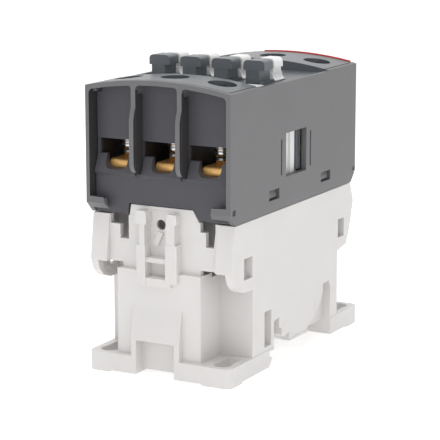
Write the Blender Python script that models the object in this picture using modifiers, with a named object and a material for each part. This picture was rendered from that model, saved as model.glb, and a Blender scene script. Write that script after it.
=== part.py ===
"""Three-pole contactor for a 35 mm DIN rail, with its rail latch, magnet system, moving contacts and screw terminals.

World frame: metres, +Z up. The rail runs along X under the origin, Z = 0 is the underside of the four foot pads,
-Y is the load side, +Y the line side (the side with the coil terminals).
"""

import math

import bmesh
import bpy
from mathutils import Matrix, Vector

MM = 0.001

# ---- driving dimensions, in millimetres -------------------------------------------------------------------------
MODULE_W = 45.0            # overall width
HOUSING_L = 80.0           # contact housing, along Y
SHIFT_Y = -1.65            # middle of the contact housing, from the middle of the rail
HOUSING_Z0 = 44.7          # underside of the contact housing
EDGE_Z = 80.2              # top of the housing at its side walls
CREST_Z = 82.5             # top of the housing over the middle
CHANNEL_Z = 79.4           # floor of the accessory channel
CHANNEL_WALL_Z = 79.95     # top of the side walls beside the channel
CHANNEL = (-22.9, 20.5)    # the channel's two ends
POLES = (-14.7, -0.15, 14.4)   # middle of each pole
WALLS = (-7.3, 7.0)        # middle of each wall between poles
WALL = 1.4
SCREW_Y = 29.5             # terminal screw axis, from the middle of the housing
HOOKS = (-15.15, -5.15, 4.85, 14.85)
FOOT_Y = (-40.2, 43.5)     # ends of the foot plate
FOOT_TOP = 5.5
BODY_Y = (-26.5, 28.7)     # end walls of the base body
RAIL_BRIM = 17.5           # half width of the rail
SEAT_Z = 4.9               # the rail's brims rest against this height
STROKE = 5.2               # travel of the contact carrier
COIL_X = (-9.5, 9.5)       # coil terminals

START = [o for o in bpy.data.objects]
for old in START:
    bpy.data.objects.remove(old, do_unlink=True)

PARTS = bpy.data.collections.new("din_rail_contactor")
TOOLS = bpy.data.collections.new("cutters")
for group in (PARTS, TOOLS):
    bpy.context.scene.collection.children.link(group)

count = [0]


def hy(y):
    """Y in the part's frame, from Y measured off the middle of the contact housing."""
    return y + SHIFT_Y


def material(name, rgb, rough, metal=0.0):
    mat = bpy.data.materials.new(name)
    mat.use_nodes = True
    bsdf = mat.node_tree.nodes["Principled BSDF"]
    bsdf.inputs["Base Color"].default_value = (*rgb, 1.0)
    bsdf.inputs["Roughness"].default_value = rough
    bsdf.inputs["Metallic"].default_value = metal
    return mat


def place(name, mesh, matrix):
    obj = bpy.data.objects.new(name, mesh)
    obj.matrix_world = matrix
    PARTS.objects.link(obj)
    return obj


def tool_name():
    count[0] += 1
    return f"tool_{count[0]:03d}"


def from_bmesh(name, bm, centre):
    name = name or tool_name()
    mesh = bpy.data.meshes.new(name)
    bm.to_mesh(mesh)
    bm.free()
    return place(name, mesh, Matrix.Translation(Vector(centre) * MM))


def box(name, x, y, z):
    """A block from its limits along X, Y and Z."""
    bm = bmesh.new()
    bmesh.ops.create_cube(bm, size=1.0)
    size = [abs(b - a) * MM for a, b in (x, y, z)]
    bmesh.ops.scale(bm, vec=size, verts=bm.verts)
    return from_bmesh(name, bm, [(a + b) / 2 for a, b in (x, y, z)])


TURN = {
    "X": Matrix.Rotation(math.pi / 2, 3, "Y"),
    "Y": Matrix.Rotation(-math.pi / 2, 3, "X"),
    "Z": Matrix.Identity(3),
}


def rod(name, radius, axis, centre, length, sides=24, tip=None):
    """A round bar on an axis; tip gives its far end another radius."""
    bm = bmesh.new()
    bmesh.ops.create_cone(bm, cap_ends=True, segments=sides, radius1=radius * MM,
                          radius2=(radius if tip is None else tip) * MM, depth=length * MM)
    bmesh.ops.rotate(bm, cent=(0, 0, 0), matrix=TURN[axis], verts=bm.verts)
    return from_bmesh(name, bm, centre)


def mesh_of(obj, name):
    """Turns a curve object into a closed mesh object, with its caps welded on."""
    bpy.context.view_layer.update()
    graph = bpy.context.evaluated_depsgraph_get()
    mesh = bpy.data.meshes.new_from_object(obj.evaluated_get(graph))
    bm = bmesh.new()
    bm.from_mesh(mesh)
    bmesh.ops.remove_doubles(bm, verts=bm.verts, dist=1e-6)
    bmesh.ops.recalc_face_normals(bm, faces=bm.faces)
    bm.to_mesh(mesh)
    bm.free()
    matrix = obj.matrix_world.copy()
    bpy.data.objects.remove(obj, do_unlink=True)
    mesh.materials.clear()
    return place(name, mesh, matrix)


FRAMES = {  # local X, Y and Z of an outline, in world directions
    "X": Matrix(((0, 0, 1), (1, 0, 0), (0, 1, 0))),
    "Y": Matrix(((1, 0, 0), (0, 0, -1), (0, 1, 0))),
    "Z": Matrix.Identity(3),
}


def plate(name, axis, span, *outlines):
    """A flat outline, given in the other two axes, that runs along an axis from span[0] to span[1]. More outlines are holes."""
    name = name or tool_name()
    curve = bpy.data.curves.new(name, "CURVE")
    curve.dimensions = "2D"
    curve.fill_mode = "BOTH"
    curve.extrude = abs(span[1] - span[0]) / 2 * MM
    for outline in outlines:
        spline = curve.splines.new("POLY")
        spline.points.add(len(outline) - 1)
        for point, (a, b) in zip(spline.points, outline):
            point.co = (a * MM, b * MM, 0, 1)
        spline.use_cyclic_u = True
    obj = bpy.data.objects.new(name + "_outline", curve)
    PARTS.objects.link(obj)
    middle = {"X": (1, 0, 0), "Y": (0, 1, 0), "Z": (0, 0, 1)}[axis]
    obj.matrix_world = Matrix.Translation(Vector(middle) * ((span[0] + span[1]) / 2 * MM)) @ FRAMES[axis].to_4x4()
    return mesh_of(obj, name)


def arc(cx, cy, r, a0, a1, n):
    """Points on a circle from angle a0 to a1, in degrees."""
    return [(cx + r * math.cos(math.radians(a0 + (a1 - a0) * i / n)),
             cy + r * math.sin(math.radians(a0 + (a1 - a0) * i / n))) for i in range(n + 1)]


def rounded(x0, x1, y0, y1, r, n=4):
    """A rectangle with round corners."""
    return (arc(x1 - r, y0 + r, r, -90, 0, n) + arc(x1 - r, y1 - r, r, 0, 90, n)
            + arc(x0 + r, y1 - r, r, 90, 180, n) + arc(x0 + r, y0 + r, r, 180, 270, n))


def to_tools(obj):
    PARTS.objects.unlink(obj)
    TOOLS.objects.link(obj)
    obj.hide_render = True
    obj.display_type = "WIRE"


def combine(obj, operation, *others):
    for other in others:
        step = obj.modifiers.new(operation.title(), "BOOLEAN")
        step.operation = operation
        step.object = other
        step.solver = "EXACT"
        to_tools(other)
    return obj


def cut(obj, *others):
    return combine(obj, "DIFFERENCE", *others)


def join(obj, *others):
    return combine(obj, "UNION", *others)


def coil(name, centre, axis, radius, wire, length, turns, steps=8):
    """A compression spring, with its middle on centre."""
    curve = bpy.data.curves.new(name, "CURVE")
    curve.dimensions = "3D"
    curve.bevel_depth = wire * MM
    curve.bevel_resolution = 1
    curve.use_fill_caps = True
    spline = curve.splines.new("POLY")
    total = int(turns * steps)
    spline.points.add(total)
    run = length - 2 * wire
    for i, point in enumerate(spline.points):
        angle = 2 * math.pi * i / steps
        local = Vector((radius * math.cos(angle), radius * math.sin(angle), run * (i / total - 0.5))) * MM
        point.co = (*(TURN[axis] @ local), 1)
    obj = bpy.data.objects.new(name + "_wire", curve)
    PARTS.objects.link(obj)
    obj.location = Vector(centre) * MM
    return mesh_of(obj, name)


def paint(mat, *objects):
    for obj in objects:
        obj.data.materials.clear()
        obj.data.materials.append(mat)


def crest(x, drop=0.0):
    """Height of the arched top at x."""
    rise = CREST_Z - EDGE_Z
    half = MODULE_W / 2
    r = (half * half + rise * rise) / (2 * rise)
    return CREST_Z - r + math.sqrt(r * r - x * x) - drop


def arch_line(x0, x1, drop=0.0, n=12):
    return [(x0 + (x1 - x0) * i / n, crest(x0 + (x1 - x0) * i / n, drop)) for i in range(n + 1)]


# ---- contact housing --------------------------------------------------------------------------------------------
W = MODULE_W / 2
L = HOUSING_L / 2


def build_housing():
    body = plate("upper_housing", "Y", (hy(-L), hy(L)), [(-W, HOUSING_Z0), (W, HOUSING_Z0)] + arch_line(W, -W))
    for sign in (-1, 1):
        cut(body, plate(None, "X", (-25, 25), [(hy(sign * 36.5), 44.2), (hy(sign * 40.5), 48.2), (hy(sign * 44), 44.2)]))
    cut(body, box(None, (-25, 25), (hy(CHANNEL[0]), hy(CHANNEL[1])), (CHANNEL_WALL_Z, 90)))
    # pocket for the top cover
    cut(body, box(None, (-21.45, 21.45), (hy(-38.6), hy(38.6)), (78.0, 90)))
    # pole chambers, over a floor that carries the fixed contacts
    edges = [-20.9] + [w + s * 0.65 for w in WALLS for s in (-1, 1)] + [20.7]
    for x0, x1 in zip(edges[0::2], edges[1::2]):
        cut(body, box(None, (x0, x1), (hy(-35), hy(35)), (56.0, 79)))
    # the room under that floor, over the magnet
    cut(body, box(None, (-18.8, 18.8), (hy(-33.0), hy(33.0)), (40, 52.6)))
    # the carrier's slot through floor and walls
    cut(body, box(None, (-20.75, 20.6), (-4.5, 4.5), (40, 79.5)), box(None, (-20.5, 20.45), (-6.6, 4.6), (73.8, 79.6)))
    # both ends: terminal recess between the side walls, with the wall ends left standing in it
    recess = [(-21.4, 49.5), (-17.0, 49.35), (-16.6, 47.2), (-15.4, 44.0), (15.2, 44.0), (16.3, 47.25), (16.7, 49.4), (21.1, 49.6)]
    for x0, x1 in ((7.7, 21.1), (-6.6, 6.3), (-21.4, -8.0)):
        recess += ([(x1, 56.4 + 0.01 * x1)] if x1 < 20 else []) + [(x1, crest(x1, 2.25)), (x1 - 0.3, crest(x1, 1.6)), (x1 - 0.9, crest(x1 - 0.9, 1.35)),
                   ((x0 + x1) / 2, crest((x0 + x1) / 2, 1.35)), (x0 + 0.9, crest(x0 + 0.9, 1.35)), (x0 + 0.3, crest(x0, 1.6)),
                   (x0, crest(x0, 2.25))] + ([(x0, 56.4 + 0.006 * x0)] if x0 > -20 else [])
    for sign in (-1, 1):
        cut(body, plate(None, "Y", sorted((hy(sign * 42), hy(sign * 34.3))), recess))
        cut(body, box(None, (-21.3, 21.0), sorted((hy(sign * 38.4), hy(sign * 34.5))), (43, 50.2)))
        # wall ends between the poles: they swell forward below, turn in at the foot, and stand free of the terminal panel
        for w in WALLS:
            swell = [(hy(sign * y), z) for y, z in ((39.4, 75.3), (40.0, 75.0), (40.7, 73.2), (41.1, 71.4), (41.15, 66.0), (41.1, 59.6), (40.8, 58.4),
                                                    (40.2, 57.5), (39.4, 57.0), (38.4, 56.7), (37.2, 56.6), (37.2, 65.0))]
            foot = [(hy(sign * 41), 54.0), (hy(sign * 41), 57.3), (hy(sign * 39.3), 56.95), (hy(sign * 38.3), 56.65), (hy(sign * 36.0), 56.5), (hy(sign * 35.5), 54.2)]
            cut(body, plate(None, "X", (w - 1.2, w + 1.2), foot))
            join(body, plate(None, "X", (w - 0.68, w + 0.68), swell))
            cut(body, box(None, (w - 1.3, w + 1.3), sorted((hy(sign * 36.3), hy(sign * 34.0))), (50.5, 78.8)))
    # side walls: interlock window with its slits, snap windows and the small corner holes
    for sign in (-1, 1):
        xs = sorted((sign * 19.4, sign * 24))
        cut(body, box(None, xs, (hy(-7.0), hy(6.0)), (53.2, 65.6)))
        xs = sorted((sign * 21.6, sign * 24))
        for y in (-9.8, 8.7):
            cut(body, box(None, xs, (hy(y - 0.4), hy(y + 0.4)), (54.1, 64.2)))
        xs = sorted((sign * 20.4, sign * 24))
        for y in (-14.2, 19.2):
            cut(body, box(None, xs, (hy(y - 3.2), hy(y + 3.2)), (47.9, 50.8)))
        xs = sorted((sign * 21.9, sign * 24))
        for y in (-38.05, 39.0):
            cut(body, box(None, xs, (hy(y - 0.9), hy(y + 0.9)), (47.5, 49.1)))
    # seat of the marker strip along the far top edge
    cut(body, plate(None, "Y", (hy(39.1), hy(41)), arch_line(-8.3, 21.0, 0.8, 8) + [(21.0, 90), (-8.3, 90)]))
    return body


def build_cover():
    x = 21.1
    cover = plate("front_cover", "Y", (hy(-38.3), hy(38.3)), [(-x, 78.4), (x, 78.4)] + arch_line(x, -x))
    cut(cover, box(None, (-25, 25), (hy(CHANNEL[0]), hy(CHANNEL[1])), (CHANNEL_Z, 90)))
    inner = [(-19.9, 77), (19.9, 77)] + arch_line(19.9, -19.9, 1.3)
    cut(cover, plate(None, "Y", (hy(-40), hy(CHANNEL[0] - 1.4)), inner), plate(None, "Y", (hy(CHANNEL[1] + 1.4), hy(40)), inner))
    # screwdriver holes over the terminal screws
    for sign in (-1, 1):
        for c in POLES:
            cut(cover, rod(None, 4.0, "Z", (c, hy(sign * SCREW_Y), 80), 12))
    # slots for the carrier's hooks
    for c in HOOKS:
        cut(cover, box(None, (c - 3.2, c + 3.2), (hy(-4.7), hy(1.9)), (76, 84)))
    # fixed hooks
    for c in HOOKS:
        stem = box(None, (c - 2.05, c + 2.15), (hy(-12.85), hy(-6.4)), (79.0, 84.2))
        foot = box(None, (c - 2.2, c + 3.1), (hy(-12.6), hy(-5.6)), (78.7, 80.3))
        head = plate(None, "Y", (hy(-12.95), hy(-7.7)), [(c - 2.75, 83.25), (c + 3.75, 83.3), (c + 3.75, 85.2), (c + 3.55, 85.65), (c + 3.05, 85.98),
                                                         (c + 2.4, 86.1), (c - 1.4, 86.09), (c - 2.05, 85.97), (c - 2.55, 85.63), (c - 2.75, 85.18)])
        join(cover, stem, foot, head)
    return cover


def build_panel(name, sign):
    """The wall with the wire entries, behind the wall ends at one end of the housing."""
    def ys(a, b):
        return tuple(sorted((hy(sign * a), hy(sign * b))))
    panel = box(name, (-21.1, 20.8), ys(37.0, 34.6), (45.0, 56.2))
    for (x0, x1), (l0, l1) in (((-21.1, -8.0), (-21.1, -8.3)), ((-6.6, 6.3), (-6.3, 6.0)), ((7.7, 20.8), (8.0, 20.8))):
        side = [(hy(sign * 36.9), 55.0), (hy(sign * 37.8), 56.1), (hy(sign * 37.6), 56.9), (hy(sign * 35.8), 61.0),
                (hy(sign * 34.65), 61.0), (hy(sign * 34.65), 55.0)]
        join(panel, plate(None, "X", (l0, l1), side))
    join(panel, plate(None, "Y", ys(36.0, 34.6), [(-21.1, 65.3), (20.8, 65.3), (20.8, 78.05), (19.5, 78.1)] + arch_line(19.4, -19.5, 1.65)
                      + [(-19.6, 78.1), (-21.1, 78.05)]))
    for x0, x1 in ((-21.1, -20.3), (-8.0, -6.6), (6.3, 7.7), (20.0, 20.8)):
        join(panel, box(None, (x0, x1), ys(35.9, 34.75), (55.0, 66.0)))
    for c in POLES:
        slot = arc(c - 1.5, 58.95, 1.95, 180, 270, 5) + arc(c + 1.5, 58.95, 1.95, 270, 360, 5) + [(c + 3.45, 62.5), (c - 3.45, 62.5)]
        cut(panel, plate(None, "Y", ys(40, 30), slot))
    # gap over the tongue of the base
    cut(panel, plate(None, "Y", ys(40, 30), [(-11.1, 44.0), (-10.6, 47.9), (9.6, 47.9), (11.4, 44.8), (11.6, 44.0)]))
    return panel


def build_terminal(tag, sign, c):
    def ys(a, b):
        return tuple(sorted((hy(sign * a), hy(sign * b))))
    nose = [(hy(sign * (33.2 + 1.0 * math.cos(math.radians(a)))), z + 1.0 * math.sin(math.radians(a)))
            for z, first in ((57.35, -90), (58.35, 0)) for a in range(first, first + 91, 18)]
    bar = plate(f"fixed_contact_{tag}", "X", (c - 3.5, c + 3.5), nose + [(hy(sign * 25.0), 59.35), (hy(sign * 25.0), 56.35)])
    join(bar, box(None, (c - 3.2, c + 3.2), (-27, -11.2) if sign < 0 else (11.2, 26), (56.2, 58.4)))
    join(bar, box(None, (c - 2.4, c + 2.4), (-15.2, -11.6) if sign < 0 else (11.6, 15.2), (58.0, 59.7)))
    strap = plate(None, "X", (c - 3.5, c + 3.5), [(hy(sign * 25.0), 58.9), (hy(sign * 25.0), 66.8), (hy(sign * 33.0), 66.8),
                                                  (hy(sign * 33.0), 64.9), (hy(sign * 26.6), 64.9), (hy(sign * 26.6), 58.9)])
    join(bar, strap)
    cut(bar, rod(None, 2.35, "Z", (c, hy(sign * SCREW_Y), 66), 6, 16))
    y = hy(sign * SCREW_Y)
    pad = rod(f"terminal_clamp_{tag}", 1.7, "Z", (c, y, 61.1), 0.8, 20)
    screw = turned(f"terminal_screw_{tag}", (c, y, 69.0), [(0, 4.0), (3.2, 4.0), (3.6, 3.6), (3.6, 0.0), (2.0, 0.0), (2.0, -6.4), (1.5, -7.0), (0, -7.0)], 20)
    cut(screw, box(None, (c - 3.9, c + 3.9), (y - 0.5, y + 0.5), (71.4, 74)),
        box(None, (c - 0.5, c + 0.5), (y - 2.1, y + 2.1), (71.0, 74)))
    return bar, pad, screw


def turned(name, centre, profile, steps, axis="Z"):
    """A turned piece: profile runs down the outer side from the axis to the axis, as radius and height."""
    name = name or tool_name()
    mesh = bpy.data.meshes.new(name)
    bm = bmesh.new()
    verts = [bm.verts.new((r * MM, 0, z * MM)) for r, z in profile]
    for a, b in zip(verts, verts[1:]):
        bm.edges.new((a, b))
    bm.to_mesh(mesh)
    bm.free()
    obj = place(name, mesh, Matrix.Translation(Vector(centre) * MM) @ TURN[axis].to_4x4())
    screw = obj.modifiers.new("Screw", "SCREW")
    screw.axis = "Z"
    screw.angle = 2 * math.pi
    screw.steps = screw.render_steps = steps
    screw.use_merge_vertices = True
    screw.merge_threshold = 1e-5
    return obj


# ---- base -------------------------------------------------------------------------------------------------------
def build_base():
    foot = rounded(-22.4, 22.4, hy(FOOT_Y[0]), hy(FOOT_Y[1]), 2.0)
    base = plate("base_housing", "Z", (0.5, FOOT_TOP), foot)
    pads = plate(None, "Z", (0.0, 2.0), foot)
    cut(pads, box(None, (-16.0, 13.5), (-60, 60), (-1, 3)), box(None, (-30, 30), (hy(-33), hy(36)), (-1, 3)))
    join(base, pads)
    join(base, box(None, (-22.2, 22.2), (hy(BODY_Y[0]), hy(BODY_Y[1])), (3.0, 44.4)))
    # flange under the contact housing at both ends
    flange = [(hy(y), z) for y, z in ((-37.0, 44.4), (-38.7, 31.7), (-37.5, 28.4), (-35.6, 26.6), (-33.9, 25.8), (-31.2, 25.1),
                                      (-25.8, 25.0), (-25.8, 44.4))]
    near = plate(None, "X", (-22.2, 22.2), flange)
    cut(near, box(None, (-17, 17), (hy(-41), hy(-36.7)), (20, 46)), box(None, (-20.2, 20.2), (hy(-35.0), hy(-26.5)), (20, 46)),
        box(None, (-20.0, -12.8), (hy(-41), hy(-30)), (21, 31.2)), box(None, (11.5, 20.0), (hy(-41), hy(-30)), (21, 31.2)))
    flange = [(hy(y), z) for y, z in ((37.4, 44.4), (39.3, 39.7), (39.6, 38.4), (38.0, 33.4), (36.3, 28.8), (34.9, 26.3), (28.4, 25.0), (28.0, 44.4))]
    far = plate(None, "X", (-22.2, 22.2), flange)
    cut(far, box(None, (-17, 17), (hy(28.7), hy(42)), (26.3, 46)), box(None, (-20.2, 20.2), (hy(28.9), hy(36.2)), (26.6, 46)),
        box(None, (-20.1, 20.1), (hy(28.8), hy(42)), (20, 31.2)))
    join(base, near, far)
    # middle block, its ramp and the screwdriver pocket
    join(base, box(None, (-13.9, 12.3), (hy(-38.2), hy(-26)), (3, 29.7)))
    ramp = [(hy(y), z) for y, z in ((-36, 21.0), (-38.1, 20.6), (-38.6, 18.6), (-39.6, 14.0), (-40.15, 10.2), (-40.15, 3.2), (-36, 3.1))]
    join(base, plate(None, "X", (-8.6, 6.6), ramp))
    tongue = [(-10.7, 30.0), (-10.7, 44.4), (-10.2, 47.6), (9.2, 47.6), (11.0, 44.5), (11.2, 30.0)]
    join(base, plate(None, "Y", (hy(-36.65), hy(-35.1)), tongue))
    # guide rails, cross bars and marks on the tongue
    for pieces in ([(-7.2, -4.4, 26.0, 37.1), (-6.3, -4.6, 36.8, 43.4)], [(1.9, 5.5, 27.0, 37.8), (2.1, 4.8, 37.4, 43.8)]):
        for n, (x0, x1, z0, z1) in enumerate(pieces):
            join(base, box(None, (x0, x1), (hy(-39.3 + 0.12 * n), hy(-35.2)), (z0, z1)))
    join(base, plate(None, "Y", (hy(-39.35), hy(-35.3)), [(-7.1, 42.9), (-4.35, 42.85), (-4.0, 43.4), (-3.95, 45.9), (-4.4, 46.6), (-6.9, 46.65), (-7.4, 46.1), (-7.4, 43.3)]),
         plate(None, "Y", (hy(-39.25), hy(-35.3)), [(2.7, 43.45), (5.2, 43.5), (5.5, 43.9), (5.45, 45.9), (5.1, 46.3), (2.9, 46.35), (2.4, 45.8), (2.35, 43.8)]))
    cut(base, box(None, (-4.4, 2.1), (hy(-38.6), hy(-36.0)), (28.2, 42.6)), box(None, (-3.9, 2.3), (hy(-38.5), hy(-36.05)), (42.3, 46.9)))
    join(base, box(None, (-4.7, 2.3), (hy(-38.7), hy(-35.5)), (32.3, 33.6)), box(None, (-5.6, 3.5), (hy(-39.1), hy(-35.5)), (25.8, 28.0)))
    mark = plate(None, "Y", (hy(-36.6), hy(-35.8)), [(-1.9, 40.7), (-0.2, 40.3), (-1.8, 36.7), (-3.5, 36.9)])
    join(base, mark)
    cut(base, rod(None, 1.45, "Y", (-1.1, hy(-36), 42.55), 12, 20))
    # stepped notches beside the tongue
    for notch in ([(-16.75, 41.75), (-13.7, 41.75), (-13.7, 37.75), (-11.0, 37.75), (-11.0, 46), (-16.75, 46)],
                  [(11.5, 41.75), (13.2, 41.75), (13.2, 37.75), (15.6, 37.75), (16.15, 42.0), (16.15, 46), (11.5, 46)]):
        cut(base, plate(None, "Y", (hy(-38.5), hy(-34)), notch))
    # windows in the flanges' side plates
    cut(base, box(None, (-30, 30), (hy(-31.6), hy(-26.7)), (28.5, 34.5)), box(None, (-30, -16), (hy(28.9), hy(33.2)), (29.0, 34.6)),
        box(None, (16, 30), (hy(28.9), hy(33.2)), (29.0, 34.6)))
    # room for the magnet
    cut(base, box(None, (-18.7, 18.7), (-25.6, 24.5), (14.0, 46)))
    # pocket in the near foot
    cut(base, box(None, (-7.1, 5.0), (hy(-41), hy(-36.3)), (-1, 10.2)), box(None, (-7.1, 5.0), (hy(-36.5), hy(-30)), (-1, 1.2)))
    # keyholes: a round end to pass a screw head, a narrow end to hold it
    for sign in (-1, 1):
        for mid, way in ((-35.9, 1), (39.2, -1)):
            cut(base, rod(None, 2.6, "Z", (sign * 18.0, hy(mid), 3), 10, 16),
                box(None, (sign * 18.0 - 2.1, sign * 18.0 + 2.1), sorted((hy(mid), hy(mid + way * 7.2))), (-2, 8)))
    # rail channel
    rail = [(hy(y), z) for y, z in ((-17.9, -1.5), (-17.1, -0.2), (-14.8, 2.9), (-16.4, 3.7), (-16.4, SEAT_Z), (-13.4, SEAT_Z), (-13.4, 7.0),
                                    (-7.2, 6.3), (-3.3, 5.0), (7.8, SEAT_Z), (9.2, 7.9), (13.3, 7.9), (13.3, SEAT_Z), (20.0, SEAT_Z), (24.0, SEAT_Z), (24.0, -1.5))]
    cut(base, plate(None, "X", (-30, 30), rail))
    # side pockets beside the rail channel
    for sign in (-1, 1):
        xs = sorted((sign * 19.6, sign * 24))
        cut(base, box(None, xs, (hy(-19.2), hy(-15.0)), (6.7, 16.9)),
            plate(None, "X", xs, [(hy(y), z) for y, z in ((-13.4, 4), (-13.4, 13.0), (-10.0, 13.6), (-10.0, 10.4), (-8.3, 9.8), (-8.3, 7.9), (-6.8, 7.0),
                                                          (-4.3, 7.7), (-3.3, 7.4), (-3.3, 4))]),
            plate(None, "X", xs, [(hy(y), z) for y, z in ((13.2, 4), (13.2, 13.0), (16.4, 13.8), (18.8, 13.8), (18.8, 17.0), (22.8, 17.4), (24.0, 15.0), (24.0, 4))]))
        join(base, plate(None, "X", sorted((sign * 19.3, sign * 21.6)), [(hy(y), z) for y, z in ((14.6, 8.4), (19.4, 12.0), (19.4, 14.2), (14.6, 14.2))]))
    # latch guide through the far foot
    cut(base, box(None, (-6.5, 6.5), (hy(22.0), 45), (1.3, 4.2)), box(None, (-5.0, 5.0), (hy(22.0), 45), (-1, 1.5)),
        box(None, (-3.2, 3.2), (37.6, 45), (3.9, 8)))
    join(base, box(None, (-1.4, 1.4), (33.0, 34.4), (1.9, 5.0)))
    return base


def build_latch():
    latch = plate("rail_latch", "Z", (1.6, 3.6), rounded(-6.2, 6.2, 17.5, 42.8, 0.8, 2))
    cut(latch, box(None, (-2.3, 2.3), (26.0, 35.0), (0, 5)), box(None, (-2.6, 2.6), (39.2, 41.2), (0, 5)))
    nose = plate(None, "X", (-6.2, 6.2), [(16.3, 3.6), (19.5, 3.6), (19.5, 0.9), (18.2, 0.9), (16.3, 2.9)])
    join(latch, nose)
    return latch


# ---- magnet system ----------------------------------------------------------------------------------------------
def build_magnet():
    core = plate("magnet_core", "X", (-6.5, 6.5), [(-20, 15.6), (20, 15.6), (20, 31), (15.5, 31), (15.5, 21), (5, 21), (5, 31),
                                                   (-5, 31), (-5, 21), (-15.5, 21), (-15.5, 31), (-20, 31)])
    armature = plate("armature", "X", (-6.5, 6.5), [(-20, 44.6), (-20, 36.5), (-15.5, 36.5), (-15.5, 40.2), (-5, 40.2), (-5, 36.5), (5, 36.5),
                                                    (5, 40.2), (15.5, 40.2), (15.5, 36.5), (20, 36.5), (20, 44.6)])
    cut(armature, rod(None, 1.8, "X", (0, 0, 42.4), 20, 16))
    pin = rod("armature_pin", 1.45, "X", (0, 0, 42.4), 18.8, 16)
    pad = box("core_pad", (-7.5, 7.5), (-20.5, 20.5), (14.3, 15.3))
    bobbin = plate("coil_bobbin", "Z", (21.3, 30.7), [(-16, -14.8), (16, -14.8), (16, 14.8), (-16, 14.8)],
                   [(-6.8, -5.3), (6.8, -5.3), (6.8, 5.3), (-6.8, 5.3)])
    ring = plate(None, "Z", (22.5, 29.5), [(-20, -20), (20, -20), (20, 20), (-20, 20)], [(-8, -6.5), (8, -6.5), (8, 6.5), (-8, 6.5)])
    cut(bobbin, ring)
    winding = plate("coil_winding", "Z", (22.8, 29.2), rounded(-14.8, 14.8, -13.6, 13.6, 3.0, 3), rounded(-8.3, 8.3, -6.8, 6.8, 0.8, 2))
    return core, armature, pin, pad, bobbin, winding


def build_carrier():
    carrier = box("contact_carrier", (-19.4, 19.4), (-4.0, 4.0), (47.0, 77.6))
    join(carrier, box(None, (-16, 16), (-8, 8), (44.9, 47.9)))
    for sign in (-1, 1):
        join(carrier, box(None, sorted((sign * 7.0, sign * 9.2)), (-5, 5), (38.6, 45.5)),
             box(None, sorted((sign * 18.0, sign * 20.2)), (-1.25, 1.25), (50.2, 77.0)))
        cut(carrier, box(None, sorted((sign * 18.3, sign * 21.0)), (-9, 9), (46, 50.25)))
    cut(carrier, rod(None, 1.8, "X", (0, 0, 42.4), 30, 16))
    for c in POLES:
        cut(carrier, box(None, (c - 3.7, c + 3.7), (-10, 10), (63.9, 74.2)))
    for c in (-11.0, 0.0, 11.0):
        cut(carrier, box(None, (c - 3.4, c + 3.4), (-10, 10), (51.0, 60.5)))
    for c in HOOKS:
        stem = box(None, (c - 1.95, c + 1.95), (hy(-4.1), hy(1.0)), (79.3, 84.0))
        join(carrier, box(None, (c - 1.8, c + 1.8), (-3.6, hy(0.9)), (76.0, 80.0)))
        foot = plate(None, "Y", (hy(-4.3), hy(1.6)), [(c - 2.9, 79.5), (c + 2.9, 79.5), (c + 2.9, 79.8), (c + 2.55, 79.95), (c + 2.2, 80.35), (c + 2.0, 80.95), (c + 1.85, 81.8),
                                                       (c - 1.85, 81.8), (c - 2.0, 80.95), (c - 2.2, 80.35), (c - 2.55, 79.95), (c - 2.9, 79.8)])
        head = plate(None, "Y", (hy(-4.5), hy(0.8)), [(c - 2.6, 83.2), (c + 2.6, 83.2)] + arc(c + 1.3, 84.6, 1.3, 0, 80, 3)
                     + arc(c - 1.3, 84.6, 1.3, 100, 180, 3))
        join(carrier, stem, foot, head)
    return carrier


def build_bridge(i, c):
    bridge = box(f"contact_bridge_{i}", (c - 3.2, c + 3.2), (-15.6, 15.6), (64.2, 65.8))
    join(bridge, box(None, (c - 2.2, c + 2.2), (-15.0, -11.8), (63.2, 64.6)), box(None, (c - 2.2, c + 2.2), (11.8, 15.0), (63.2, 64.6)),
         rod(None, 1.5, "Z", (c, 0, 66.4), 1.6, 12))
    return bridge


def build_coil_terminals():
    block = box("coil_terminal_block", (-16.7, 16.7), (27.4, 36.3), (26.6, 44.1))
    parts = [block]
    for i, c in enumerate(COIL_X, 1):
        cut(block, box(None, (c - 3.8, c + 3.8), (30.4, 40), (28.2, 42.4)), rod(None, 1.9, "Y", (c, 29, 37.5), 8, 16))
        clamp = box(f"coil_clamp_{i}", (c - 3.4, c + 3.4), (31.4, 32.4), (28.6, 41.6))
        cut(clamp, rod(None, 1.9, "Y", (c, 32, 37.5), 6, 16))
        screw = turned(f"coil_screw_{i}", (c, 32.7, 37.5), [(0, 2.4), (2.4, 2.4), (2.8, 2.0), (2.8, 0.0), (1.5, 0.0), (1.5, -4.4), (0, -4.4)], 20, "Y")
        cut(screw, box(None, (c - 3.2, c + 3.2), (34.0, 36), (37.1, 37.9)))
        parts += [clamp, screw]
    return parts


def build_board():
    board = box("control_board", (-15, 15), (-24.9, -23.5), (15.0, 43.0))
    join(board, box(None, (-12, -4), (-24, -21.2), (18, 25)), box(None, (0, 5), (-24, -21.8), (20, 30)), box(None, (7.5, 13), (-24, -21.4), (30, 39)),
         box(None, (-11, -5), (-24, -21.8), (30, 34)))
    return board


housing_obj = build_housing()
cover_obj = build_cover()
panels = [build_panel("terminal_panel_load", -1), build_panel("terminal_panel_line", 1)]
strip = plate("marker_strip", "Y", (hy(39.4), hy(39.95)), arch_line(-8.0, 20.7, -0.35, 8) + arch_line(20.7, -8.0, 0.5, 8))
shutters = [box(f"window_shutter_{tag}", sorted((s * 19.75, s * 20.6)), (hy(3.2), hy(5.9)), (53.6, 65.2)) for tag, s in (("right", 1), ("left", -1))]
for shutter, s in zip(shutters, (1, -1)):
    cut(shutter, box(None, sorted((s * 20.2, s * 22)), (hy(4.4), hy(5.2)), (57.5, 63.5)))
terminals = [build_terminal(f"{side}_{i}", sign, c) for side, sign in (("load", -1), ("line", 1)) for i, c in enumerate(POLES, 1)]
base_obj = build_base()
latch_obj = build_latch()
latch_spring = coil("latch_spring", (0, (26.3 + 32.7) / 2, 2.75), "Y", 0.95, 0.22, 6.4, 7, 6)
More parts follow.
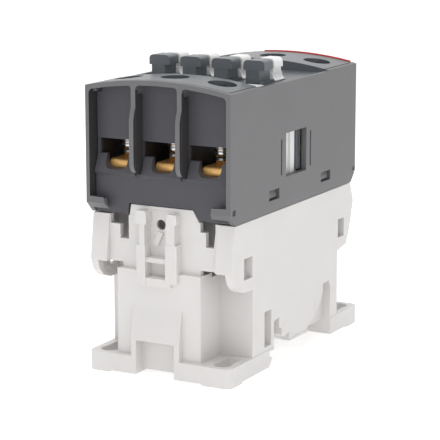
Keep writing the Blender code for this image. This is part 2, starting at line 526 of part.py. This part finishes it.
core, armature, pin, pad, bobbin, winding = build_magnet()
carrier = build_carrier()
bridges = [build_bridge(i, c) for i, c in enumerate(POLES, 1)]
contact_springs = [coil(f"contact_spring_{i}", (c, 0, (66.1 + 73.9) / 2), "Z", 2.4, 0.3, 7.8, 4.5, 8) for i, c in enumerate(POLES, 1)]
return_springs = [coil(f"return_spring_{tag}", (s * 12.6, 0, (31.0 + 44.6) / 2), "Z", 2.3, 0.3, 13.6, 6, 8) for tag, s in (("left", -1), ("right", 1))]
coil_parts = build_coil_terminals()
board = build_board()

SHELL = material("warm_grey_plastic", (0.155, 0.155, 0.158), 0.5)
COVER = material("blue_grey_plastic", (0.115, 0.128, 0.140), 0.5)
PANEL = material("dark_grey_plastic", (0.068, 0.069, 0.080), 0.55)
WHITE = material("off_white_plastic", (0.74, 0.72, 0.70), 0.45)
BRASS = material("brass", (0.72, 0.42, 0.14), 0.3, 1.0)
STEEL = material("zinc_plated_steel", (0.62, 0.63, 0.65), 0.3, 1.0)
SILVER = material("copper_bridge", (0.72, 0.40, 0.28), 0.35, 1.0)
IRON = material("laminated_iron", (0.30, 0.30, 0.31), 0.5, 1.0)
COPPER = material("enamelled_copper", (0.55, 0.20, 0.07), 0.35, 0.8)
RED = material("red_plastic", (0.60, 0.05, 0.03), 0.5)
RUBBER = material("black_rubber", (0.02, 0.02, 0.02), 0.8)
BOARD = material("green_board", (0.02, 0.12, 0.05), 0.5)
WIRE = material("spring_steel", (0.55, 0.55, 0.56), 0.25, 1.0)

paint(SHELL, housing_obj)
paint(COVER, cover_obj)
paint(PANEL, *panels, *shutters)
paint(RED, strip)
paint(WHITE, base_obj, carrier, coil_parts[0], bobbin, latch_obj)
paint(BRASS, *[t[0] for t in terminals])
paint(STEEL, *[t[1] for t in terminals], *[t[2] for t in terminals], *coil_parts[1:], pin)
paint(SILVER, *bridges)
paint(IRON, core, armature)
paint(COPPER, winding)
paint(RUBBER, pad)
paint(BOARD, board)
paint(WIRE, latch_spring, *contact_springs, *return_springs)

for obj in PARTS.objects:
    for face in obj.data.polygons:
        face.use_smooth = obj.name.startswith(("terminal_screw", "coil_screw", "terminal_clamp", "armature_pin"))
    if obj.data.polygons and obj.data.polygons[0].use_smooth:
        obj.data.set_sharp_from_angle(angle=math.radians(35))
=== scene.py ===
"""Looks for the DIN rail contactor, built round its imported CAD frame. Metres, in the CAD's own frame."""

import math

import bmesh
import bpy
from mathutils import Matrix, Vector


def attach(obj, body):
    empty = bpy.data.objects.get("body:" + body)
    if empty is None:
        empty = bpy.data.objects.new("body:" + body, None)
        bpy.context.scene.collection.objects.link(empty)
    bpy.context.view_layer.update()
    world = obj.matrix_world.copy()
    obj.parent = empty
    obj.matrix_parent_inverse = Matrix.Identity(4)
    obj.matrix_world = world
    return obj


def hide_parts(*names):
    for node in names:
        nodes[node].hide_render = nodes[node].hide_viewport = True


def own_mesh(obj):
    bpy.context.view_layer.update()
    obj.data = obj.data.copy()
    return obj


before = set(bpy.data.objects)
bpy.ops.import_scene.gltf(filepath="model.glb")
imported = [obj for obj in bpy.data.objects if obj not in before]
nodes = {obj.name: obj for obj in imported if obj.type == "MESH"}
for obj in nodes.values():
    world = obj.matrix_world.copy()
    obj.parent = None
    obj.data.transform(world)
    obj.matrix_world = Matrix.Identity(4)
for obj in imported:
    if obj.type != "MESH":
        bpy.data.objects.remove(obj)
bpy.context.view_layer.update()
MM = 0.001
SHIFT_Y = -1.65            # middle of the contact housing from the middle of the rail
POLES = (-14.7, -0.15, 14.4)
WALLS = (-7.3, 7.0)
SCREW_Y = 29.5
COIL_X = (-9.5, 9.5)

scene = bpy.context.scene
WORLD_LOW, WORLD_BACK, FLOOR_GLOW = 0.38, 1.15, 0.50
KEY, SIDE, TOP, FILL = 1.55, 0.62, 2.75, 0.75


def hy(y):
    return y + SHIFT_Y


# ---- materials ---------------------------------------------------------------------------------------------------
def node(nt, kind, **values):
    n = nt.nodes.new(kind)
    for key, value in values.items():
        if key in n.inputs:
            n.inputs[key].default_value = value
        else:
            setattr(n, key, value)
    return n


def base_material(name):
    mat = bpy.data.materials.new(name)
    mat.use_nodes = True
    nt = mat.node_tree
    return mat, nt, nt.nodes["Principled BSDF"]


def mix_colour(nt, fac, a, b, blend="MIX"):
    m = nt.nodes.new("ShaderNodeMix")
    m.data_type = "RGBA"
    m.blend_type = blend
    for socket, value in ((m.inputs[0], fac), (m.inputs[6], a), (m.inputs[7], b)):
        if hasattr(value, "is_output"):
            nt.links.new(value, socket)
        else:
            socket.default_value = value
    return m.outputs[2]


def ramp(nt, source, stops):
    r = nt.nodes.new("ShaderNodeValToRGB")
    nt.links.new(source, r.inputs[0])
    elements = r.color_ramp.elements
    while len(elements) < len(stops):
        elements.new(0.5)
    for e, (pos, value) in zip(elements, stops):
        e.position = pos
        e.color = (*value, 1) if hasattr(value, "__len__") else (value, value, value, 1)
    return r.outputs[0]


def plastic(name, rgb, rough=0.48, grain=0.00004, tone=0.05, wear=0.25, coat=0.0, spec=0.45, grain_scale=5200, subsurface=0.0):
    """Moulded plastic: a fine spark-eroded grain, faint flow marks in its tone, and edges rubbed a little lighter."""
    mat, nt, bsdf = base_material(name)
    coords = nt.nodes.new("ShaderNodeTexCoord")
    broad = node(nt, "ShaderNodeTexNoise", Scale=60.0, Detail=3.0, Roughness=0.5)
    fine = node(nt, "ShaderNodeTexNoise", Scale=float(grain_scale), Detail=2.0, Roughness=0.6)
    for n in (broad, fine):
        nt.links.new(coords.outputs["Object"], n.inputs["Vector"])
    light = tuple(min(1, v * (1 + tone)) for v in rgb)
    dark = tuple(v * (1 - tone) for v in rgb)
    colour = ramp(nt, broad.outputs["Fac"], [(0.3, dark), (0.7, light)])
    # edges: where the surface turns within a third of a millimetre
    geo = nt.nodes.new("ShaderNodeNewGeometry")
    round_off = nt.nodes.new("ShaderNodeBevel")
    round_off.samples = 4
    round_off.inputs["Radius"].default_value = 0.0003
    turn = nt.nodes.new("ShaderNodeVectorMath")
    turn.operation = "DOT_PRODUCT"
    nt.links.new(round_off.outputs["Normal"], turn.inputs[0])
    nt.links.new(geo.outputs["Normal"], turn.inputs[1])
    edge = ramp(nt, turn.outputs["Value"], [(0.80, 1.0), (0.97, 0.0)])
    rubbed = tuple(min(1, v * (1 + wear) + 0.012 * wear * 4) for v in rgb) + (1,)
    colour = mix_colour(nt, edge, colour, rubbed)
    nt.links.new(colour, bsdf.inputs["Base Color"])
    speck = ramp(nt, fine.outputs["Fac"], [(0.3, max(0.0, rough - 0.05)), (0.7, min(1.0, rough + 0.06))])
    nt.links.new(speck, bsdf.inputs["Roughness"])
    bump = node(nt, "ShaderNodeBump", Strength=0.35, Distance=grain)
    nt.links.new(fine.outputs["Fac"], bump.inputs["Height"])
    nt.links.new(bump.outputs["Normal"], bsdf.inputs["Normal"])
    bsdf.inputs["Specular IOR Level"].default_value = spec
    bsdf.inputs["Coat Weight"].default_value = coat
    if subsurface:
        bsdf.inputs["Subsurface Weight"].default_value = subsurface
        bsdf.inputs["Subsurface Radius"].default_value = (0.0012, 0.0010, 0.0008)
        bsdf.inputs["Subsurface Scale"].default_value = 1.0
    return mat


def metal(name, rgb, rough=0.3, tone=0.12, scratch=(1, 1, 1), bump=0.00003, scale=900, tarnish=None):
    """Metal with drawn marks along one direction, and a cloudy tone."""
    mat, nt, bsdf = base_material(name)
    coords = nt.nodes.new("ShaderNodeTexCoord")
    mapping = node(nt, "ShaderNodeMapping")
    mapping.inputs["Scale"].default_value = scratch
    nt.links.new(coords.outputs["Object"], mapping.inputs["Vector"])
    cloud = node(nt, "ShaderNodeTexNoise", Scale=220.0, Detail=4.0, Roughness=0.55)
    lines = node(nt, "ShaderNodeTexNoise", Scale=float(scale), Detail=3.0, Roughness=0.6)
    nt.links.new(coords.outputs["Object"], cloud.inputs["Vector"])
    nt.links.new(mapping.outputs["Vector"], lines.inputs["Vector"])
    dark = tarnish or tuple(v * (1 - tone) for v in rgb)
    colour = ramp(nt, cloud.outputs["Fac"], [(0.35, dark), (0.65, tuple(min(1, v * (1 + tone / 2)) for v in rgb))])
    nt.links.new(colour, bsdf.inputs["Base Color"])
    bsdf.inputs["Metallic"].default_value = 1.0
    speck = ramp(nt, lines.outputs["Fac"], [(0.3, max(0.03, rough - 0.1)), (0.7, rough + 0.12)])
    nt.links.new(speck, bsdf.inputs["Roughness"])
    b = node(nt, "ShaderNodeBump", Strength=0.4, Distance=bump)
    nt.links.new(lines.outputs["Fac"], b.inputs["Height"])
    nt.links.new(b.outputs["Normal"], bsdf.inputs["Normal"])
    return mat


def paint_shade_inside(mat, shade_zones):
    """Painted shade: the inner faces of the chambers and recesses are darkened, as the shade falls there, and look
    darker than the outside. A zone is its tone, its half width along X, its limits of |Y| and Z, and the most that a
    face in it may look along Y."""
    nt = mat.node_tree
    bsdf = nt.nodes["Principled BSDF"]
    coords = nt.nodes.new("ShaderNodeTexCoord")
    at = nt.nodes.new("ShaderNodeSeparateXYZ")
    facing = nt.nodes.new("ShaderNodeSeparateXYZ")
    nt.links.new(coords.outputs["Object"], at.inputs[0])
    nt.links.new(coords.outputs["Normal"], facing.inputs[0])

    def math_node(operation, a, b=None):
        m = nt.nodes.new("ShaderNodeMath")
        m.operation = operation
        for socket, value in zip(m.inputs, (a, b)):
            if hasattr(value, "is_output"):
                nt.links.new(value, socket)
            elif value is not None:
                socket.default_value = value
        return m.outputs[0]

    x, y, ny = (math_node("ABSOLUTE", v) for v in (at.outputs[0], at.outputs[1], facing.outputs[1]))
    z = at.outputs[2]
    for tone, x_half, (y0, y1), (z0, z1), most in shade_zones:
        fac = math_node("LESS_THAN", x, x_half * MM)
        for t in (math_node("GREATER_THAN", y, y0 * MM), math_node("LESS_THAN", y, y1 * MM), math_node("GREATER_THAN", z, z0 * MM),
                  math_node("LESS_THAN", z, z1 * MM), math_node("LESS_THAN", ny, most)):
            fac = math_node("MULTIPLY", fac, t)
        old = bsdf.inputs["Base Color"].links[0].from_socket
        # mixes the colour toward the zone's tone: painted shade, not the plastic's own colour
        nt.links.new(mix_colour(nt, fac, old, mix_colour(nt, 1.0, old, (tone, tone, tone, 1), "MULTIPLY")), bsdf.inputs["Base Color"])


SHELL = plastic("warm_grey_plastic", (0.140, 0.140, 0.145), rough=0.46, tone=0.03, wear=0.16)
# painted shade in the contact chambers and on the housing's inner faces
paint_shade_inside(SHELL, [(0.30, 21.7, (36.2, 44.0), (49.0, 79.6), 0.6), (0.16, 20.95, (4.0, 36.2), (52.0, 79.6), 2.0)])
COVER = plastic("blue_grey_plastic", (0.104, 0.114, 0.126), rough=0.34, tone=0.03, wear=0.12)
PANEL = plastic("dark_grey_plastic", (0.066, 0.066, 0.077), rough=0.50, tone=0.03, wear=0.10)
# painted shade in the terminal recesses of the panel
paint_shade_inside(PANEL, [(0.30, 22.0, (31.5, 36.15), (56.0, 65.2), 2.0)])
WHITE = plastic("off_white_plastic", (0.672, 0.655, 0.645), rough=0.42, tone=0.02, wear=0.02, subsurface=0.10)
CARRIER = plastic("white_carrier_plastic", (0.82, 0.82, 0.82), rough=0.38, tone=0.02, wear=0.03, subsurface=0.1)
RED = plastic("red_plastic", (0.62, 0.045, 0.03), rough=0.35, tone=0.03, wear=0.1)
BOBBIN = plastic("bobbin_plastic", (0.50, 0.48, 0.42), rough=0.5, tone=0.04, wear=0.1)
BRASS = metal("brass", (1.0, 0.60, 0.22), rough=0.38, tone=0.08, scratch=(1, 0.08, 1), tarnish=(0.95, 0.54, 0.19))
BRASS.node_tree.nodes["Principled BSDF"].inputs["Metallic"].default_value = 0.72
DULL_STEEL = metal("dull_steel", (0.34, 0.34, 0.35), rough=0.42, tone=0.12)
ZINC = metal("zinc_plated_steel", (0.72, 0.73, 0.75), rough=0.24, tone=0.10, scratch=(1, 1, 1))
SPRING = metal("spring_steel", (0.60, 0.60, 0.62), rough=0.22, tone=0.08)
COPPER = metal("copper_bridge", (0.80, 0.42, 0.27), rough=0.3, tone=0.12, scratch=(1, 0.1, 1))
RUBBER = plastic("black_rubber", (0.022, 0.022, 0.023), rough=0.8, tone=0.1, wear=0.5)


def laminated():
    """A stack of sheets: fine lines across X, raised in the bump."""
    mat = metal("laminated_iron", (0.34, 0.34, 0.35), rough=0.42, tone=0.15)
    nt = mat.node_tree
    bsdf = nt.nodes["Principled BSDF"]
    coords = nt.nodes.new("ShaderNodeTexCoord")
    wave = node(nt, "ShaderNodeTexWave", Scale=320.0, Distortion=0.0)
    wave.bands_direction = "X"
    nt.links.new(coords.outputs["Object"], wave.inputs["Vector"])
    bump = node(nt, "ShaderNodeBump", Strength=0.6, Distance=0.00006)
    nt.links.new(wave.outputs["Fac"], bump.inputs["Height"])
    nt.links.new(bump.outputs["Normal"], bsdf.inputs["Normal"])
    return mat


def enamelled():
    mat = metal("enamelled_copper", (0.62, 0.22, 0.08), rough=0.3, tone=0.1)
    bsdf = mat.node_tree.nodes["Principled BSDF"]
    bsdf.inputs["Coat Weight"].default_value = 0.6
    bsdf.inputs["Coat Roughness"].default_value = 0.15
    nt = mat.node_tree
    coords = nt.nodes.new("ShaderNodeTexCoord")
    wave = node(nt, "ShaderNodeTexWave", Scale=700.0, Distortion=0.6)
    wave.bands_direction = "Z"
    nt.links.new(coords.outputs["Object"], wave.inputs["Vector"])
    bump = node(nt, "ShaderNodeBump", Strength=0.8, Distance=0.0001)
    nt.links.new(wave.outputs["Fac"], bump.inputs["Height"])
    nt.links.new(bump.outputs["Normal"], bsdf.inputs["Normal"])
    return mat


def circuit():
    mat, nt, bsdf = base_material("circuit_board")
    coords = nt.nodes.new("ShaderNodeTexCoord")
    brick = node(nt, "ShaderNodeTexBrick", Scale=420.0)
    brick.inputs["Color1"].default_value = (0.012, 0.11, 0.045, 1)
    brick.inputs["Color2"].default_value = (0.016, 0.13, 0.055, 1)
    brick.inputs["Mortar"].default_value = (0.03, 0.20, 0.09, 1)
    nt.links.new(coords.outputs["Object"], brick.inputs["Vector"])
    nt.links.new(brick.outputs["Color"], bsdf.inputs["Base Color"])
    bsdf.inputs["Roughness"].default_value = 0.4
    bump = node(nt, "ShaderNodeBump", Strength=0.5, Distance=0.00004)
    nt.links.new(brick.outputs["Fac"], bump.inputs["Height"])
    nt.links.new(bump.outputs["Normal"], bsdf.inputs["Normal"])
    return mat


IRON, ENAMEL, BOARD = laminated(), enamelled(), circuit()


def paint(obj, mat):
    obj.data.materials.clear()
    obj.data.materials.append(mat)


# ---- rounded edges on the CAD nodes --------------------------------------------------------------------------------
# pieces with several holes in one flat face: merged, that face would be filled in wrongly
KEEP_FACETS = ("coil_terminal_block", "contact_bridge_1", "contact_bridge_2", "contact_bridge_3", "front_cover", "contact_carrier")


def soften(obj, width, angle=32, segments=2, flat=0.6, clamp=True):
    """Merges the facets that lie in one plane, then rounds the edges that are left."""
    for poly in obj.data.polygons:
        poly.use_smooth = True
    weld = obj.modifiers.new("weld", "WELD")
    weld.merge_threshold = 2e-5
    if obj.name not in KEEP_FACETS:
        plain = obj.modifiers.new("plain", "DECIMATE")
        plain.decimate_type = "DISSOLVE"
        plain.angle_limit = math.radians(flat)
    bevel = obj.modifiers.new("edges", "BEVEL")
    bevel.width = width * MM
    bevel.segments = segments
    bevel.limit_method = "ANGLE"
    bevel.angle_limit = math.radians(angle)
    bevel.use_clamp_overlap = clamp
    bevel.miter_outer = "MITER_ARC"
    bevel.harden_normals = False
    normals = obj.modifiers.new("normals", "WEIGHTED_NORMAL")
    normals.keep_sharp = True
    normals.weight = 100
    return obj


def round_heads(obj, above, low, width, segments=4):
    """Marks the crisp edges of the hooks' heads, and rounds them more than the rest of the piece."""
    bm = bmesh.new()
    bm.from_mesh(obj.data)
    layer = bm.edges.layers.float.get("bevel_weight_edge") or bm.edges.layers.float.new("bevel_weight_edge")
    for e in bm.edges:
        zs = [v.co.z for v in e.verts]
        if max(zs) > above * MM and min(zs) > low * MM and len(e.link_faces) == 2 and e.calc_face_angle(0) > math.radians(40):
            e[layer] = 1.0
    bm.to_mesh(obj.data)
    bm.free()
    heads = obj.modifiers.new("heads", "BEVEL")
    heads.width = width * MM
    heads.segments = segments
    heads.limit_method = "WEIGHT"
    heads.use_clamp_overlap = True
    obj.modifiers.move(len(obj.modifiers) - 1, [m.name for m in obj.modifiers].index("edges"))


LOOKS = {
    "upper_housing": (SHELL, 0.22), "front_cover": (COVER, 0.22), "base_housing": (WHITE, 0.25), "terminal_panel_load": (PANEL, 0.18),
    "terminal_panel_line": (PANEL, 0.18), "window_shutter_left": (COVER, 0.08), "window_shutter_right": (COVER, 0.08), "marker_strip": (RED, 0.12),
    "contact_carrier": (CARRIER, 0.22), "coil_terminal_block": (WHITE, 0.25), "coil_bobbin": (BOBBIN, 0.15), "rail_latch": (WHITE, 0.2),
    "magnet_core": (IRON, 0.15), "armature": (IRON, 0.15), "core_pad": (RUBBER, 0.2), "armature_pin": (ZINC, 0.2), "control_board": (BOARD, 0.1),
    "coil_winding": (ENAMEL, 0.3),
}
for name, (mat, width) in LOOKS.items():
    paint(nodes[name], mat)
    soften(nodes[name], width)
for name, obj in nodes.items():
    if name in LOOKS:
        continue
    if name.startswith("fixed_contact"):
        paint(obj, BRASS)
        soften(obj, 0.15)
    elif name.startswith("contact_bridge"):
        paint(obj, COPPER)
        soften(obj, 0.15)
    elif name.startswith("terminal_clamp"):
        paint(obj, DULL_STEEL)
        soften(obj, 0.12)
    elif name.startswith(("coil_clamp", "terminal_screw", "coil_screw")):
        paint(obj, ZINC)
        soften(obj, 0.12)
    else:
        paint(obj, SPRING)
        for poly in obj.data.polygons:
            poly.use_smooth = True

round_heads(nodes["front_cover"], 85.0, 83.1, 0.75)
round_heads(nodes["contact_carrier"], 84.4, 83.0, 0.45)


# ---- added pieces --------------------------------------------------------------------------------------------------
def new_piece(name, bm, mat, body, smooth=True):
    mesh = bpy.data.meshes.new(name)
    bmesh.ops.recalc_face_normals(bm, faces=bm.faces)
    bm.to_mesh(mesh)
    bm.free()
    for poly in mesh.polygons:
        poly.use_smooth = smooth
    obj = bpy.data.objects.new(name, mesh)
    scene.collection.objects.link(obj)
    paint(obj, mat)
    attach(obj, body)
    return obj


def sweep(bm, rings, closed_ends=True):
    """Joins rings of points into a closed tube."""
    made = [[bm.verts.new(p) for p in ring] for ring in rings]
    n = len(made[0])
    for a, b in zip(made, made[1:]):
        for i in range(n):
            bm.faces.new((a[i], a[(i + 1) % n], b[(i + 1) % n], b[i]))
    if closed_ends:
        bm.faces.new(list(reversed(made[0])))
        bm.faces.new(made[-1])
    return made


def axes(axis):
    return {"Z": (Vector((1, 0, 0)), Vector((0, 1, 0)), Vector((0, 0, 1))), "Y": (Vector((0, 0, 1)), Vector((1, 0, 0)), Vector((0, 1, 0)))}[axis]


def thread(name, centre, axis, root, crest_r, low, high, pitch, body):
    """A helical ridge round a screw's shank, from low to high along its axis."""
    a, b, c = axes(axis)
    middle = Vector(centre)
    bm = bmesh.new()
    rings = []
    turns = (high - low) / pitch
    steps = int(turns * 28)
    for i in range(steps + 1):
        t = i / steps
        angle = 2 * math.pi * turns * t
        fade = min(1.0, 10 * t, 10 * (1 - t))
        out = a * math.cos(angle) + b * math.sin(angle)
        z = low + (high - low) * t
        tip = root + (crest_r - root) * max(0.05, fade)
        rings.append([(middle + out * root * MM + c * (z - pitch * 0.42) * MM), (middle + out * tip * MM + c * (z - pitch * 0.07) * MM),
                      (middle + out * tip * MM + c * (z + pitch * 0.07) * MM), (middle + out * root * MM + c * (z + pitch * 0.42) * MM)])
    sweep(bm, rings)
    return new_piece(name, bm, ZINC, body)


def spring(name, centre, axis, radius, wire, length, turns, node_name, body):
    """A compression spring with closed and ground ends."""
    a, b, c = axes(axis)
    middle = Vector(centre)
    bm = bmesh.new()
    rings = []
    steps = int(turns * 26)
    run = length - 2 * wire
    closed = 0.75 / turns
    for i in range(steps + 1):
        t = i / steps
        angle = 2 * math.pi * turns * t
        flat = 2 * wire * 0.75
        if t < closed:
            h = flat * t / closed
        elif t > 1 - closed:
            h = run - flat * (1 - t) / closed
        else:
            h = flat + (run - 2 * flat) * (t - closed) / (1 - 2 * closed)
        out = a * math.cos(angle) + b * math.sin(angle)
        core = middle + out * radius * MM + c * (h - run / 2) * MM
        rings.append([core + (out * math.cos(p) + c * math.sin(p)) * wire * MM for p in (2 * math.pi * k / 10 for k in range(10))])
    sweep(bm, rings)
    obj = new_piece(name, bm, SPRING, body)
    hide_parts(node_name)
    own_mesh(obj)
    return obj


for side, sign in (("load", -1), ("line", 1)):
    for i, c in enumerate(POLES, 1):
        y = hy(sign * SCREW_Y)
        thread(f"screw_thread_{side}_{i}", (c * MM, y * MM, 0.069), "Z", 1.96, 2.24, -6.2, -0.3, 0.7, f"screw_{side}_{i}")
for i, c in enumerate(COIL_X, 1):
    thread(f"coil_screw_thread_{i}", (c * MM, 0.0327, 0.0375), "Y", 1.47, 1.70, -4.0, -0.3, 0.5, f"coil_screw_{i}")
for i, c in enumerate(POLES, 1):
    spring(f"coiled_contact_spring_{i}", (c * MM, 0, 0.0700), "Z", 2.4, 0.3, 7.8, 5.5, f"contact_spring_{i}", "carrier")
for tag, x in (("left", -12.6), ("right", 12.6)):
    spring(f"coiled_return_spring_{tag}", (x * MM, 0, 0.0378), "Z", 2.3, 0.3, 13.6, 7.5, f"return_spring_{tag}", "housing")
spring("coiled_latch_spring", (0, 0.0295, 0.00275), "Y", 0.95, 0.2, 6.4, 8, "latch_spring", "housing")

# white guide strip in the near edge of the accessory channel
bm = bmesh.new()
bmesh.ops.create_cube(bm, size=1.0)
bmesh.ops.scale(bm, vec=(0.0392, 0.0042, 0.0004), verts=bm.verts)
bmesh.ops.bevel(bm, geom=bm.edges[:], offset=0.00008, segments=2, affect="EDGES")
bmesh.ops.translate(bm, vec=(0, hy(-17.3) * MM, 0.07963), verts=bm.verts)
new_piece("channel_guide_strip", bm, CARRIER, "housing", smooth=False)


# spring tongues in the snap windows of the housing's sides: a ramp, a flat catch and a lead-in at the foot
def snap_tongue(name, sign, y):
    bm = bmesh.new()
    profile = [(20.5, 48.15), (21.5, 48.15), (21.75, 48.45), (21.75, 49.25), (21.35, 50.4), (20.5, 50.55)]
    rings = [[Vector((sign * x, hy(yy), z)) * MM for x, z in profile] for yy in (y - 2.85, y + 2.85)]
    made = sweep(bm, rings)
    bmesh.ops.bevel(bm, geom=bm.edges[:], offset=0.00012, segments=2, affect="EDGES")
    return new_piece(name, bm, SHELL, "housing", smooth=False)


for sign, tag in ((1, "right"), (-1, "left")):
    for n, y in enumerate((-14.2, 19.2), 1):
        snap_tongue(f"snap_tongue_{tag}_{n}", sign, y)

# ---- stage, lights, camera -----------------------------------------------------------------------------------------
floor_mesh = bpy.data.meshes.new("floor")
bm = bmesh.new()
bmesh.ops.create_grid(bm, x_segments=1, y_segments=1, size=3.0)
bm.to_mesh(floor_mesh)
bm.free()
floor = bpy.data.objects.new("floor", floor_mesh)
floor.location = (0, 0, -0.0001)
scene.collection.objects.link(floor)
floor_mat, nt, bsdf = base_material("pale_floor")
bsdf.inputs["Base Color"].default_value = (0.82, 0.82, 0.82, 1)
bsdf.inputs["Roughness"].default_value = 0.7
bsdf.inputs["Specular IOR Level"].default_value = 0.2
bsdf.inputs["Emission Color"].default_value = (1, 1, 1, 1)
bsdf.inputs["Emission Strength"].default_value = FLOOR_GLOW
paint(floor, floor_mat)

# the studio: a bright backdrop behind the object, softer light from the other sides
world = bpy.data.worlds.new("studio")
scene.world = world
world.use_nodes = True
wt = world.node_tree
background = wt.nodes["Background"]
background.inputs[0].default_value = (1, 1, 1, 1)
way = wt.nodes.new("ShaderNodeTexCoord")
dot = wt.nodes.new("ShaderNodeVectorMath")
dot.operation = "DOT_PRODUCT"
dot.inputs[1].default_value = (-0.473, 0.881, 0.0)
wt.links.new(way.outputs["Generated"], dot.inputs[0])
rise = wt.nodes.new("ShaderNodeMapRange")
rise.interpolation_type = "SMOOTHSTEP"
rise.inputs["From Min"].default_value = 0.05
rise.inputs["From Max"].default_value = 0.75
rise.inputs["To Min"].default_value = WORLD_LOW
rise.inputs["To Max"].default_value = WORLD_BACK
wt.links.new(dot.outputs["Value"], rise.inputs["Value"])
path = wt.nodes.new("ShaderNodeLightPath")
seen = wt.nodes.new("ShaderNodeMapRange")
wt.links.new(path.outputs["Is Camera Ray"], seen.inputs["Value"])
wt.links.new(rise.outputs["Result"], seen.inputs["To Min"])
seen.inputs["To Max"].default_value = 1.0
wt.links.new(seen.outputs["Result"], background.inputs[1])
scene.view_settings.view_transform = "Standard"


def area(name, at, target, size, power, colour=(1, 1, 1)):
    light = bpy.data.lights.new(name, "AREA")
    light.shape = "RECTANGLE"
    light.size, light.size_y = size
    light.energy = power
    light.color = colour
    obj = bpy.data.objects.new(name, light)
    obj.location = at
    obj.rotation_euler = (Vector(target) - Vector(at)).to_track_quat("-Z", "Y").to_euler()
    scene.collection.objects.link(obj)
    return obj


area("key", (0.02, -0.66, 0.60), (0, 0, 0.04), (1.0, 0.7), KEY)
area("side", (0.75, -0.15, 0.35), (0, 0, 0.04), (0.6, 0.5), SIDE)
area("top", (0.00, -0.10, 0.80), (0, 0, 0.08), (0.5, 0.5), TOP)
area("fill", (0.50, -0.70, 0.22), (0, 0, 0.02), (0.8, 0.4), FILL)

az, el, roll = math.radians(28.23), math.radians(11.546), math.radians(-0.022)
back = Vector((math.sin(az) * math.cos(el), -math.cos(az) * math.cos(el), math.sin(el)))
right = Vector((math.cos(az), math.sin(az), 0))
up = back.cross(right)
r = right * math.cos(roll) + up * math.sin(roll)
u = up * math.cos(roll) - right * math.sin(roll)
camera = bpy.data.cameras.new("camera")
camera.lens = 153.83
camera.sensor_width = 36
camera.clip_start, camera.clip_end = 0.01, 20
cam = bpy.data.objects.new("camera", camera)
scene.collection.objects.link(cam)
at = (0.25082, -0.47292, 0.14657)
cam.matrix_world = Matrix(((r[0], u[0], back[0], at[0]), (r[1], u[1], back[1], at[1]), (r[2], u[2], back[2], at[2]), (0, 0, 0, 1)))
scene.camera = cam
